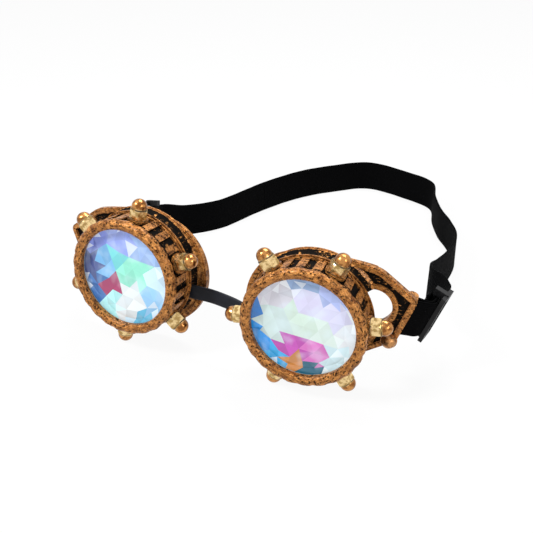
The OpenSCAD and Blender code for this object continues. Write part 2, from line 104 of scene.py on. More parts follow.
def at_pin(side, p):
    """Points of the plane square to the strap pin: (outwards, backwards) from the pin."""
    out, back = np.moveaxis(np.asarray(p, float), -1, 0)
    local = [PIN_REACH + out * math.cos(PIN_LEAN), -out * math.sin(PIN_LEAN), PIN_Z - back]
    return in_cup(side, np.stack(local, axis=-1))


def pin_direction(side):
    """Direction of a strap pin, upwards along it."""
    return np.array([math.sin(PIN_LEAN), math.cos(PIN_LEAN), 0]) @ AXES[side]


def unit(v):
    """Vectors of length 1, for one vector or for each row."""
    v = np.asarray(v, float)
    return v / np.linalg.norm(v, axis=-1, keepdims=True)


def polar(degrees, r):
    """Points of a plane at the given angles and distance."""
    a = np.radians(degrees)
    return np.stack([r * np.cos(a), r * np.sin(a)], axis=-1)


def arc(middle, r, a, b, n):
    """n + 1 points of the circle round the middle, from angle a to angle b."""
    return middle + polar(np.linspace(a, b, n + 1), r)


def square_to(v, d):
    """v made square to d and of length 1, for one vector or for each row."""
    return unit(v - np.sum(v * d, axis=-1, keepdims=True) * d)


def smooth(points, n):
    """Catmull-Rom curve through the points, with n steps for each pair of them."""
    p = np.asarray(points, float)
    padded = np.concatenate([p[:1], p, p[-1:]])
    a, b, c, d = (padded[k : k + len(p) - 1, None, :] for k in range(4))
    t = (np.arange(n) / n)[None, :, None]
    curve = 0.5 * (
        2 * b + (c - a) * t + (2 * a - 5 * b + 4 * c - d) * t**2 + (3 * b - a - 3 * c + d) * t**3
    )
    return np.concatenate([curve.reshape(-1, p.shape[1]), p[-1:]])


def directions(q):
    """Direction of travel at each point of a path."""
    q = np.asarray(q, float)
    return unit(np.concatenate([q[1:], q[-1:]]) - np.concatenate([q[:1], q[:-1]]))


def path_length(q):
    """Distance along a path at each of its points."""
    return np.concatenate([[0], np.cumsum(np.linalg.norm(np.diff(q, axis=0), axis=1))])


# Strap ends behind the pins: the direction in which each leaves its pin, the right one's turn and
# the left one's bend, and the middles of the sliders
LEAD = {LEFT: 84.0, RIGHT: 24.0}
TURN_R, RIGHT_SLIDE = 7.0, 80.0
TURN_MID = polar(LEAD[RIGHT], LEAD_LEN) + polar(LEAD[RIGHT] + 90, TURN_R)
TURN_END = TURN_MID + polar(RIGHT_SLIDE - 90, TURN_R)
LEFT_BEND = np.array([-87.2, 62, 33.5]) - BOX_MID
SLIDER_AT = {
    LEFT: np.array([-84, 99, 22.5]) - BOX_MID,
    RIGHT: at_pin(RIGHT, TURN_END + polar(RIGHT_SLIDE, 5)),
}


def slide_direction(side):
    """Direction of the strap through a slider, away from the eyecup."""
    if side == LEFT:
        return unit([0.06, 0.96, -0.28])
    return unit(at_pin(RIGHT, TURN_END + polar(RIGHT_SLIDE, 10)) - at_pin(RIGHT, TURN_END))


def slide_width(side):
    """Direction of the strap's width in a slider."""
    if side == LEFT:
        return square_to(np.array([-0.12, 0, 1]), slide_direction(LEFT))
    return pin_direction(RIGHT)


def at_slider(side, out, along):
    """Point at a distance outwards and along the strap from a slider's middle."""
    outwards = side * np.cross(slide_direction(side), slide_width(side))
    return SLIDER_AT[side] + out * outwards + along * slide_direction(side)


def middle_line(side, past):
    """Line between a strap end's two layers, to a distance past the slider's middle."""
    start = at_pin(side, [polar(LEAD[side], LEAD_LEN * i / 4) for i in (1, 2, 3)])
    if side == LEFT:
        bends = [at_pin(side, polar(LEAD[side], LEAD_LEN)), LEFT_BEND]
        turn = smooth(bends + [at_slider(side, 0, d) for d in (-18, -13, -3)], 5)
    else:
        turn = at_pin(side, arc(TURN_MID, TURN_R, LEAD[side] - 90, RIGHT_SLIDE - 90, 8))
    return np.concatenate([start, turn, [at_slider(side, 0, past)]])


def width_line(side, n):
    """Width directions along such a line, turning from the pin's to the slider's."""
    share = np.clip((np.arange(n) - 3) / 12, 0, 1)[:, None]
    return pin_direction(side) + (slide_width(side) - pin_direction(side)) * share


def layer(side, sign, q):
    """One of the two layers beside the middle line, opening out to go round the pin."""
    d = directions(q)
    normal = side * np.cross(d, square_to(width_line(side, len(q)), d))
    share = np.clip((np.arange(len(q)) + 1) / 4, 0, 1)[:, None]
    return q + sign * normal * (LOOP_R + (LAYER_GAP / 2 - LOOP_R) * share)


def pin_turn(side):
    """The strap's turn round its pin."""
    return at_pin(side, arc(np.zeros(2), LOOP_R, LEAD[side] - 90, LEAD[side] - 270, 14))


# Meshes


def new_mesh(name, verts, faces, smooth_faces=True):
    """Object with its own mesh from millimetre points, its faces turned outwards."""
    mesh = bpy.data.meshes.new(name)
    mesh.from_pydata((np.asarray(verts) * MM).tolist(), [], faces)
    mesh.polygons.foreach_set("use_smooth", np.full(len(mesh.polygons), smooth_faces))
    shell = bmesh.new()
    shell.from_mesh(mesh)
    if shell.calc_volume(signed=True) < 0:
        bmesh.ops.reverse_faces(shell, faces=shell.faces[:])
        shell.to_mesh(mesh)
    shell.free()
    mesh.update()
    obj = bpy.data.objects.new(name, mesh)
    bpy.context.scene.collection.objects.link(obj)
    return obj


def grid_faces(n, m, round_trip=False, first=0):
    """Quads between n closed outlines of m points each, which come back to the first outline on a
    round trip and otherwise end in two flat caps."""
    i, k = np.meshgrid(np.arange(n if round_trip else n - 1), np.arange(m), indexing="ij")
    after, beside = (i + 1) % n, (k + 1) % m
    quads = np.stack([i * m + k, i * m + beside, after * m + beside, after * m + k], axis=-1)
    faces = (quads.reshape(-1, 4) + first).tolist()
    if not round_trip:
        outline = np.arange(m) + first
        faces += [outline[::-1].tolist(), (outline + (n - 1) * m).tolist()]
    return faces


def resampled(path, wide, step):
    """The same path and width directions at even steps of arc length, on a rounder curve, and the
    distances along it."""
    q, w = smooth(path, 4), smooth(wide, 4)
    s = path_length(q)
    at = np.linspace(0, s[-1], max(4, int(round(s[-1] / step))) + 1)

    def along(x):
        return np.stack([np.interp(at, s, x[:, k]) for k in range(3)], axis=1)

    return along(q), along(w), at


def band_section(w, t, selvage):
    """Outline of a flat band: two crowned faces and half-round edges, a little fuller along both
    edges by the selvage. Each point is (across, through)."""
    half, selvage_w = w / 2 - t / 2, 1.6
    across = np.linspace(-half, half, 19)
    edge = np.clip((np.abs(across) - (half - selvage_w)) / selvage_w, 0, 1)
    through = t / 2 + selvage * (np.sin(math.pi * edge) - 0.5)
    top = np.stack([across, through], axis=1)
    round_edge = polar(np.array([60, 30, 0, -30, -60]), t / 2) + [half, 0]
    return np.concatenate([top, round_edge, -top, -round_edge])


def band(name, path, wide, w, t, step=1.3, selvage=0.06, ripple=0.0, start=0.0, shells=()):
    """A flat woven band. Formula: each station of the path carries the section, set square to the
    direction of travel with its long side along the width direction; the width swells and shrinks
    by a slow sine of the ripple. UV 'weave' holds arc length and distance round the section in
    millimetres. Shells are grids of closed forms that are part of the same piece."""
    q, width, s = resampled(path, wide, step)
    d, section = directions(q), band_section(w, t, selvage)
    across = square_to(width, d)
    through = np.cross(across, d)
    at = s + start
    swell = 1 - ripple * (0.5 + 0.5 * np.sin(at * 0.31) * np.sin(at * 0.113))
    grid = (
        q[:, None, :]
        + across[:, None, :] * section[None, :, :1] * swell[:, None, None]
        + through[:, None, :] * section[None, :, 1:]
    )
    n, m = grid.shape[:2]
    verts, faces = grid.reshape(-1, 3), grid_faces(n, m)
    caps = (len(faces) - 2, len(faces) - 1)
    for shell in shells:
        faces += grid_faces(*shell.shape[:2], first=len(verts))
        verts = np.concatenate([verts, shell.reshape(-1, 3)])
    obj = new_mesh(name, verts, faces)
    weave_uv(obj, at, path_length(np.concatenate([section, section[:1]])), n, m)
    for cap in caps:
        obj.data.polygons[cap].use_smooth = False
    return obj


def weave_uv(obj, along, around, n, m):
    """UV 'weave' of a band of n stations and m points round: the distance along at each corner's
    station and the distance round at its point, with the full way round at the end of each row."""
    index = np.zeros(len(obj.data.loops), np.int32)
    obj.data.loops.foreach_get("vertex_index", index)
    on_band = index < n * m
    row, column = index // m, index % m
    uv = np.zeros((len(index), 2), np.float32)
    uv[on_band, 0] = along[row[on_band]]
    uv[on_band, 1] = around[column[on_band]]
    corners = 4 * (n - 1) * m
    seam = np.zeros(len(index), bool)
    seam[:corners] = (column[:corners] == 0) & (np.arange(corners) // 4 % m == m - 1)
    uv[seam, 1] = around[m]
    obj.data.uv_layers.new(name="weave").data.foreach_set("uv", uv.ravel())


def rod(a, b, r, rings=6, sides=14):
    """Grid of a rod from a to b with round ends. Formula: circles of r times the cosine of the
    latitude, pushed out beyond each end by r times its sine."""
    a, b = np.asarray(a, float), np.asarray(b, float)
    d = unit(b - a)
    askew = np.array([1, 0.2, 0.1] if abs(d[2]) > 0.9 else [0.3, 0.2, 1])
    x = square_to(askew, d)
    y = np.cross(d, x)
    latitude = np.radians(np.linspace(-80, 80, 2 * rings))[:, None, None]
    turn = np.linspace(0, 2 * math.pi, sides, endpoint=False)[None, :, None]
    middle = np.where(latitude < 0, a, b) + d * r * np.sin(latitude)
    return middle + r * np.cos(latitude) * (x * np.cos(turn) + y * np.sin(turn))


# Material nodes


class Tree:
    """Short ways to add and link shader nodes in one node tree."""

    def __init__(self, tree):
        self.tree = tree

    def put(self, socket, value):
        """Links an output to the socket, or gives the socket a plain value."""
        if hasattr(value, "is_output"):
            self.tree.links.new(value, socket)
        elif value is not None:
            socket.default_value = value

    def add(self, kind, **settings):
        node = self.tree.nodes.new(kind)
        for key, value in settings.items():
            setattr(node, key, value)
        return node

    def math(self, operation, a, b=None, clamp=False):
        node = self.add("ShaderNodeMath", operation=operation, use_clamp=clamp)
        for socket, value in zip(node.inputs, (a, b)):
            self.put(socket, value)
        return node.outputs[0]

    def vector(self, operation, a, b=None, scale=None):
        node = self.add("ShaderNodeVectorMath", operation=operation)
        self.put(node.inputs[0], a)
        if b is not None:
            self.put(node.inputs[1], b)
        if scale is not None:
            self.put(node.inputs["Scale"], scale)
        return node.outputs["Value" if operation == "DOT_PRODUCT" else "Vector"]

    def step(self, value, low, high):
        """0 below low, 1 above high and a smooth rise between; low may be above high."""
        node = self.add("ShaderNodeMapRange", interpolation_type="SMOOTHSTEP")
        self.put(node.inputs["Value"], value)
        if low <= high:
            ends = (low, high, 0.0, 1.0)
        else:
            ends = (high, low, 1.0, 0.0)
        for key, x in zip(("From Min", "From Max", "To Min", "To Max"), ends):
            node.inputs[key].default_value = x
        return node.outputs["Result"]

    def noise(self, where, scale, detail, rough):
        node = self.add("ShaderNodeTexNoise")
        self.put(node.inputs["Vector"], where)
        node.inputs["Scale"].default_value = scale
        node.inputs["Detail"].default_value = detail
        node.inputs["Roughness"].default_value = rough
        return node.outputs[0]

    def cells(self, where, scale):
        node = self.add("ShaderNodeTexVoronoi")
        self.put(node.inputs["Vector"], where)
        node.inputs["Scale"].default_value = scale
        return node.outputs["Distance"]

    def mix(self, factor, a, b):
        node = self.add("ShaderNodeMix", data_type="RGBA", clamp_factor=True)
        self.put(node.inputs[0], factor)
        self.put(node.inputs[6], a)
        self.put(node.inputs[7], b)
        return node.outputs[2]

    def blend(self, factor, a, b):
        node = self.add("ShaderNodeMix", data_type="FLOAT", clamp_factor=True)
        self.put(node.inputs[0], factor)
        self.put(node.inputs[2], a)
        self.put(node.inputs[3], b)
        return node.outputs[0]

    def combine(self, x, y, z):
        node = self.add("ShaderNodeCombineXYZ")
        for socket, value in zip(node.inputs, (x, y, z)):
            self.put(socket, value)
        return node.outputs[0]

    def split(self, vector):
        node = self.add("ShaderNodeSeparateXYZ")
        self.put(node.inputs[0], vector)
        return node.outputs

    def bump(self, height, strength, distance):
        node = self.add("ShaderNodeBump")
        self.put(node.inputs["Height"], height)
        node.inputs["Strength"].default_value = strength
        node.inputs["Distance"].default_value = distance
        return node.outputs["Normal"]

    def in_mm(self):
        """Place of the shading point in its piece, in millimetres."""
        return self.vector("SCALE", self.add("ShaderNodeTexCoord").outputs["Object"], scale=1 / MM)

    def group(self, tree, **values):
        node = self.add("ShaderNodeGroup", node_tree=tree)
        for key, value in values.items():
            self.put(node.inputs[key.replace("_", " ")], value)
        return node.outputs


def rgb(r, g, b):
    """Opaque colour, as the shaders take it."""
    return (r, g, b, 1.0)


def shade(tone, share, more=0.0):
    """A tone made lighter or darker."""
    return rgb(*(share * c + more for c in tone))


def new_group(name, inputs, outputs):
    """Shader node group with the given sockets: (name, kind, default)."""
    tree = bpy.data.node_groups.new(name, "ShaderNodeTree")
    for label, kind, default in inputs:
        socket = tree.interface.new_socket(name=label, in_out="INPUT", socket_type=kind)
        if default is not None:
            socket.default_value = default
    for label, kind in outputs:
        tree.interface.new_socket(name=label, in_out="OUTPUT", socket_type=kind)
    t = Tree(tree)
    return t, t.add("NodeGroupInput").outputs, t.add("NodeGroupOutput").inputs


VEC, NUM, COL = "NodeSocketVector", "NodeSocketFloat", "NodeSocketColor"
UNROLLED_R = 27.0


def cup_frame_group():
    """Places a shading point in an eyecup's own frame: its radius, height and place in millimetres,
    a position that unrolls the ring, and how far the surface faces the front and away from the
    axis."""
    t, given, out = new_group(
        "cup_frame",
        [("Origin", VEC, None), ("Out", VEC, None), ("Up", VEC, None), ("Front", VEC, None)],
        [
            ("Radius", NUM),
            ("Height", NUM),
            ("Unrolled", VEC),
            ("Local", VEC),
            ("Facing", NUM),
            ("Outward", NUM),
        ],
    )
    coord = t.add("ShaderNodeTexCoord")
    p = t.vector("SUBTRACT", coord.outputs["Object"], given["Origin"])
    p = t.vector("SCALE", p, scale=1 / MM)
    u = t.vector("DOT_PRODUCT", p, given["Out"])
    v = t.vector("DOT_PRODUCT", p, given["Up"])
    w = t.vector("DOT_PRODUCT", p, given["Front"])
    radius = t.math("SQRT", t.math("ADD", t.math("MULTIPLY", u, u), t.math("MULTIPLY", v, v)))
    angle = t.math("ARCTAN2", v, u)
    t.put(out["Radius"], radius)
    t.put(out["Height"], w)
    t.put(out["Unrolled"], t.combine(t.math("MULTIPLY", angle, UNROLLED_R), radius, w))
    t.put(out["Local"], t.combine(u, v, w))
    normal = coord.outputs["Normal"]
    t.put(out["Facing"], t.vector("DOT_PRODUCT", normal, given["Front"]))
    outwards = t.math("MULTIPLY", u, t.vector("DOT_PRODUCT", normal, given["Out"]))
    upwards = t.math("MULTIPLY", v, t.vector("DOT_PRODUCT", normal, given["Up"]))
    away = t.math("ADD", outwards, upwards)
    t.put(out["Outward"], t.math("DIVIDE", away, t.math("MAXIMUM", radius, 0.01)))
    return t.tree


def dry_brush_group():
    """Copper paint dry-brushed over black plastic. Cover is 1 on raised places and 0 in recesses;
    noise breaks the paint's edge up, and small pits and dashes let the black through, the more the
    higher Wear is. Warmth moves the bright copper from red to gold."""
    t, given, out = new_group(
        "dry_brush",
        [
            ("Cover", NUM, 1.0),
            ("Position", VEC, None),
            ("Stroke", VEC, None),
            ("Wear", NUM, 0.5),
            ("Warmth", NUM, 0.5),
        ],
        [("Color", COL), ("Roughness", NUM), ("Metallic", NUM), ("Height", NUM)],
    )
    cloud = t.noise(given["Position"], 0.30, 4.0, 0.62)
    stroke = t.noise(given["Stroke"], 0.9, 5.0, 0.72)
    fine = t.noise(given["Position"], 2.2, 3.0, 0.65)
    by_stroke = t.math("MULTIPLY", t.math("SUBTRACT", stroke, 0.5), 2.1)
    by_cloud = t.math("MULTIPLY", t.math("SUBTRACT", cloud, 0.5), 1.6)
    level = t.math("ADD", given["Cover"], t.math("ADD", by_stroke, by_cloud))
    paint = t.step(level, 0.34, 0.56)
    dash = t.noise(given["Stroke"], 0.85, 2.0, 0.5)
    dash_here = t.math("MULTIPLY", t.step(dash, 0.57, 0.63), t.step(cloud, 0.44, 0.56))
    pit = t.step(t.cells(given["Position"], 0.62), 0.34, 0.22)
    pit = t.math("MULTIPLY", pit, t.step(fine, 0.40, 0.50))
    black = t.math("MULTIPLY", t.math("MAXIMUM", dash_here, pit), given["Wear"])
    paint = t.math("MULTIPLY", paint, t.math("SUBTRACT", 1.0, black), clamp=True)
    deep = t.mix(t.step(fine, 0.35, 0.65), rgb(0.055, 0.016, 0.004), rgb(0.20, 0.062, 0.014))
    bright = t.mix(given["Warmth"], rgb(0.50, 0.19, 0.042), rgb(0.74, 0.34, 0.098))
    tone = t.math("ADD", t.math("MULTIPLY", cloud, 0.5), t.math("MULTIPLY", stroke, 0.5))
    copper = t.mix(t.step(tone, 0.36, 0.62), deep, bright)
    ground = t.mix(t.step(cloud, 0.3, 0.7), rgb(0.002, 0.0018, 0.0016), rgb(0.009, 0.006, 0.004))
    t.put(out["Color"], t.mix(paint, ground, copper))
    t.put(out["Roughness"], t.blend(paint, 0.7, t.blend(fine, 0.16, 0.38)))
    t.put(out["Metallic"], t.math("MULTIPLY", paint, 0.36))
    grain = t.math("ADD", t.math("MULTIPLY", fine, 0.35), t.math("MULTIPLY", stroke, 0.5))
    t.put(out["Height"], t.math("ADD", t.math("MULTIPLY", paint, 0.7), grain))
    return t.tree


def weave_group():
    """Woven elastic: ribs along the band, picks across it that are offset from rib to rib, and
    stray fibres. Thread is 1 on top of a thread and 0 between threads."""
    t, given, out = new_group(
        "elastic_weave",
        [("Rib Pitch", NUM, 0.95), ("Pick Pitch", NUM, 0.62)],
        [("Height", NUM), ("Thread", NUM), ("Fibres", NUM)],
    )
    uv = t.add("ShaderNodeUVMap", uv_map="weave")
    x, y, _ = t.split(uv.outputs[0])
    row = t.math("DIVIDE", y, given["Rib Pitch"])
    odd = t.math("MULTIPLY", t.math("MODULO", t.math("FLOOR", row), 2.0), math.pi)
    rib = t.math("ABSOLUTE", t.math("SINE", t.math("MULTIPLY", row, math.pi)))
    turns = t.math("MULTIPLY", t.math("DIVIDE", x, given["Pick Pitch"]), 2 * math.pi)
    pick = t.math("SINE", t.math("ADD", turns, odd))
    pick = t.math("ADD", t.math("MULTIPLY", pick, 0.5), 0.5)
    strands = t.combine(t.math("MULTIPLY", x, 1.6), t.math("MULTIPLY", y, 5.0), 0.0)
    fibres = t.noise(strands, 1.0, 4.0, 0.7)
    thread = t.math("MULTIPLY", rib, t.blend(0.5, pick, 1.0))
    t.put(out["Height"], t.math("ADD", thread, t.math("MULTIPLY", fibres, 0.25)))
    t.put(out["Thread"], thread)
    t.put(out["Fibres"], fibres)
    return t.tree


CUP_FRAME = cup_frame_group()
DRY_BRUSH = dry_brush_group()
WEAVE = weave_group()


def new_material(name, **fixed):
    """Material with a Principled shader whose plain inputs are fixed."""
    mat = bpy.data.materials.new(name)
    mat.use_nodes = True
    shader = mat.node_tree.nodes["Principled BSDF"]
    for key, value in fixed.items():
        shader.inputs[key.replace("_", " ")].default_value = value
    return mat, Tree(mat.node_tree), shader.inputs


def framed(t, side):
    """The eyecup's frame as node outputs."""
    out, up, front = (tuple(axis) for axis in AXES[side])
    return t.group(CUP_FRAME, Origin=tuple(CUPS[side]["origin"] * MM), Out=out, Up=up, Front=front)


def stretched(t, place, x, y, z):
    """A place stretched along its three axes, for marks with a direction."""
    return t.combine(*(t.math("MULTIPLY", c, k) for c, k in zip(t.split(place), (x, y, z))))


def painted_plastic(side, name, cover_of, stroke_in, stroke, wear, warmth, bump):
    """Dry-brushed copper on black plastic. cover_of gives the cover from the eyecup's frame, stroke
    stretches the brush marks along the axes of the frame's output stroke_in, and bump is the
    strength and distance of the relief."""
    mat, t, shader = new_material(NAMES[side] + name, Coat_Roughness=0.25, Specular_IOR_Level=0.05)
    f = framed(t, side)
    painted = t.group(
        DRY_BRUSH,
        Cover=cover_of(t, f),
        Position=f["Local"],
        Stroke=stretched(t, f[stroke_in], *stroke),
        Wear=wear,
        Warmth=warmth,
    )
    t.put(shader["Base Color"], painted["Color"])
    t.put(shader["Roughness"], painted["Roughness"])
    t.put(shader["Metallic"], painted["Metallic"])
    t.put(shader["Coat Weight"], t.math("MULTIPLY", painted["Metallic"], 0.5))
    t.put(shader["Normal"], t.bump(painted["Height"], *bump))
    return mat


def ring_cover(t, f):
    """Screw ring: copper on the rim, the ribs' tops and the rear bead, black between the ribs; less copper
    where the rim meets the ribs, partly painted shade in that crease and partly bare black.
    """
    top = t.step(f["Radius"], RING_SKIRT_R + 0.35, RING_SKIRT_R + 1.15)
    rim = t.step(f["Height"], -0.5, 0.3)
    bead = t.step(f["Height"], BEAD_Z + 0.15, BEAD_Z - 0.15)
    raised = t.math("MAXIMUM", rim, t.math("MULTIPLY", bead, 0.85))
    cover = t.math("MAXIMUM", t.math("MULTIPLY", top, 0.64), raised)
    # Painted shade mixed with bare black: less copper in the crease where the rim meets the ribs.
    joint_shade_and_black = t.math("MULTIPLY", t.step(f["Height"], -2.2, -1.1), t.step(f["Height"], 0.1, -0.7))
    cover = t.math("SUBTRACT", cover, t.math("MULTIPLY", joint_shade_and_black, 0.38))
    return t.math("ADD", cover, 0.13)


def cup_cover(t, f):
    """Eyecup: copper on its rim, its ear's raised edges and its collar, black in the channel and in
    the hollow."""
    low = t.step(f["Height"], EDGE_Z + 0.3, EDGE_Z - 0.35)
    level = t.step(t.math("ABSOLUTE", f["Facing"]), 0.6, 0.85)
    floor = t.math("MULTIPLY", t.step(f["Height"], CHANNEL_Z + 0.15, CHANNEL_Z - 0.15), level)
    edge = t.math("MULTIPLY", low, t.math("SUBTRACT", 1.0, floor))
    outer = t.step(f["Radius"], COLLAR_R - 0.25, COLLAR_R + 0.25)
    collar = t.math("MULTIPLY", outer, t.step(f["Height"], COLLAR_Z - 0.3, COLLAR_Z + 0.3))
    cover = t.math("MAXIMUM", t.math("MULTIPLY", edge, 0.95), collar)
    cover = t.math("MULTIPLY", cover, t.step(f["Facing"], -0.9, -0.5))
    inward, inside = t.step(f["Outward"], 0.1, -0.2), t.step(f["Radius"], 33.0, 31.5)
    return t.math("SUBTRACT", t.math("ADD", cover, 0.17), t.math("MULTIPLY", inward, inside))


# Painted pieces: material name, cover, the frame its brush marks follow and their stretch along its
# axes, wear, warmth and relief
PAINTED = {
    "_screw_ring": ("_ring_copper", ring_cover, "Unrolled", (0.55, 1.5, 0.9), 0.95, 0.45, (0.85, 0.0007)),
    "_eyecup": ("_cup_copper", cup_cover, "Local", (0.5, 1.1, 0.7), 0.8, 0.6, (0.7, 0.0006)),
}


def nut_brass(side):
    """Cap nuts: pale gold six-sided part and a redder dome, with painted shade in the step between them and
    at the nut's foot, and spots of tarnish.
    """
    mat, t, shader = new_material(NAMES[side] + "_nut_brass", Coat_Roughness=0.1)
    f, hex_end = framed(t, side), PAD_R + 5.3
    dome = t.step(f["Radius"], hex_end, hex_end + 1.0)
    smear = t.noise(f["Local"], 0.45, 3.0, 0.5)
    grain = t.noise(f["Local"], 2.0, 3.0, 0.55)
    gold = t.mix(t.step(smear, 0.4, 0.6), rgb(0.42, 0.27, 0.095), rgb(0.84, 0.62, 0.31))
    copper = t.mix(t.step(smear, 0.4, 0.6), rgb(0.24, 0.090, 0.024), rgb(0.56, 0.26, 0.080))
    color = t.mix(dome, gold, copper)
    # Painted shade in the step between the six-sided part and the dome.
    seam = t.math(
        "MULTIPLY",
        t.step(f["Radius"], hex_end - 0.4, hex_end),
        t.step(f["Radius"], hex_end + 0.6, hex_end + 0.1),
    )
    # Painted shade at the nut's foot, where it meets its pad.
    foot_shade = t.step(f["Radius"], PAD_R + 0.9, PAD_R + 0.1)
    shade_and_tarnish = t.math("MAXIMUM", seam, foot_shade)
    # Spots of tarnish, added to the painted shade.
    spots = t.math("MULTIPLY", t.step(grain, 0.66, 0.72), 0.5)
    shade_and_tarnish = t.math("MAXIMUM", t.math("MULTIPLY", shade_and_tarnish, t.step(smear, 0.3, 0.55)), spots)
    # Painted shade and tarnish darken the brass and make it matte.
    t.put(shader["Base Color"], t.mix(shade_and_tarnish, color, rgb(0.06, 0.035, 0.015)))
    t.put(shader["Metallic"], t.blend(shade_and_tarnish, 0.95, 0.3))
    t.put(shader["Roughness"], t.blend(shade_and_tarnish, t.blend(smear, 0.14, 0.34), 0.6))
    t.put(shader["Normal"], t.bump(t.math("ADD", t.math("MULTIPLY", grain, 0.4), smear), 0.25, 0.0004))
    return mat


def bronze(name, tone, rough):
    """Turned bronze with tarnish in soft patches and fine scratches."""
    mat, t, shader = new_material(name)
    where = t.in_mm()
    patch = t.noise(where, 0.5, 4.0, 0.6)
    fine = t.noise(where, 4.0, 3.0, 0.6)
    color = t.mix(t.step(patch, 0.36, 0.56), shade(tone, 0.25), rgb(*tone))
    color = t.mix(t.step(fine, 0.62, 0.70), color, rgb(0.03, 0.02, 0.012))
    t.put(shader["Base Color"], color)
    t.put(shader["Metallic"], 0.8)
    t.put(shader["Roughness"], t.blend(patch, rough + 0.2, rough))
    t.put(shader["Normal"], t.bump(fine, 0.4, 0.0003))
    return mat


def rubber(name, tone, rough, grain):
    """Rubber or moulded plastic: fine grain, faint dust and a slow change of gloss."""
    mat, t, shader = new_material(name, Specular_IOR_Level=0.25)
    where = t.in_mm()
    skin = t.noise(where, 3.2, 3.0, 0.6)
    slow = t.noise(where, 0.18, 3.0, 0.5)
    dust = t.math("MULTIPLY", t.step(t.noise(where, 7.0, 2.0, 0.5), 0.66, 0.74), 0.35)
    color = t.mix(t.step(slow, 0.3, 0.7), rgb(*tone), shade(tone, 1.7, 0.004))
    t.put(shader["Base Color"], t.mix(dust, color, rgb(0.09, 0.09, 0.09)))
    t.put(shader["Roughness"], t.blend(slow, rough - 0.08, rough + 0.1))
    t.put(shader["Normal"], t.bump(skin, grain, 0.0002))
    return mat


def elastic(name, tone):
    """Woven elastic, with painted shade darkening it between the threads, and lighter on stray fibres."""
    mat, t, shader = new_material(name, Specular_IOR_Level=0.03)
    w = t.group(WEAVE, Rib_Pitch=0.95, Pick_Pitch=0.62)
    # Painted shade: darker between the threads.
    color = t.mix(w["Thread"], shade(tone, 0.45), rgb(*tone))
    stray = t.math("MULTIPLY", t.step(w["Fibres"], 0.6, 0.75), 0.3)
    color = t.mix(stray, color, shade(tone, 2.2))
    t.put(shader["Base Color"], color)
    t.put(shader["Roughness"], t.blend(w["Fibres"], 0.8, 0.95))
    t.put(shader["Normal"], t.bump(w["Height"], 0.6, 0.0002))
    return mat


# Lenses: tints of the coated facets. Each has its place as a share of the lens's radius (seen from
# the front, right and up), how strongly it draws facets to it, and its colour
TINTS = {
    LEFT: {
        "teal": ((-0.16, 0.34), 1.0, (0.15, 0.60, 0.62)),
        "spring green": ((0.16, 0.08), 1.1, (0.26, 0.76, 0.58)),
        "aqua": ((-0.46, 0.24), 0.9, (0.15, 0.42, 0.74)),
        "violet": ((-0.60, 0.62), 1.0, (0.17, 0.23, 0.68)),
        "lilac": ((-0.10, 0.74), 1.2, (0.26, 0.34, 0.78)),
        "ice": ((0.46, 0.60), 1.1, (0.30, 0.46, 0.82)),
        "frost": ((0.84, 0.05), 1.0, (0.56, 0.76, 0.90)),
        "pale blue": ((0.60, -0.40), 1.1, (0.28, 0.56, 0.86)),
        "white": ((0.16, -0.50), 1.3, (0.70, 0.745, 0.76)),
        "cyan": ((0.30, -0.86), 0.9, (0.10, 0.46, 0.70)),
        "slate": ((-0.84, 0.0), 1.0, (0.06, 0.09, 0.26)),
        "deep blue": ((-0.70, -0.46), 1.0, (0.04, 0.15, 0.42)),
        "garnet": ((-0.36, -0.26), 0.8, (0.36, 0.03, 0.12)),
        "mint": ((-0.34, -0.62), 0.7, (0.40, 0.80, 0.82)),
    },
    RIGHT: {
        "mint": ((-0.05, 0.06), 1.7, (0.58, 0.72, 0.63)),
        "pearl": ((0.34, -0.06), 1.3, (0.62, 0.74, 0.69)),
        "lilac": ((0.02, 0.46), 1.1, (0.62, 0.60, 0.80)),
        "lilac haze": ((0.50, 0.28), 1.0, (0.64, 0.64, 0.84)),
        "ivory": ((-0.56, 0.56), 1.1, (0.62, 0.61, 0.68)),
        "steel": ((-0.02, 0.92), 0.9, (0.24, 0.36, 0.60)),
        "periwinkle": ((0.52, 0.74), 1.0, (0.40, 0.48, 0.82)),
        "white": ((0.88, 0.02), 1.1, (0.78, 0.83, 0.87)),
        "frost": ((0.60, -0.60), 1.0, (0.60, 0.80, 0.86)),
        "magenta": ((-0.16, -0.42), 1.1, (0.50, 0.06, 0.42)),
        "pink": ((0.20, -0.46), 0.95, (0.62, 0.14, 0.48)),
        "orange": ((-0.12, -0.72), 0.8, (0.60, 0.24, 0.06)),
        "teal": ((0.02, -0.92), 0.9, (0.01, 0.12, 0.20)),
        "azure": ((-0.86, -0.40), 1.0, (0.01, 0.28, 0.78)),
        "cobalt": ((-0.94, 0.20), 0.8, (0.01, 0.18, 0.58)),
        "sky": ((-0.60, -0.78), 0.85, (0.02, 0.36, 0.74)),
        "mist": ((-0.52, -0.06), 1.4, (0.54, 0.67, 0.65)),
    },
}

# Cut of each lens: how far it is turned, the pitch of its middle facets, the steps between their
# levels, and the seed of its stray angles and tints
CUTS = {LEFT: (12.0, 6.1, 0.34, 7), RIGHT: (-9.0, 6.9, 0.22, 11)}
EDGE_COUNT, EDGE_R = 36, 25.45


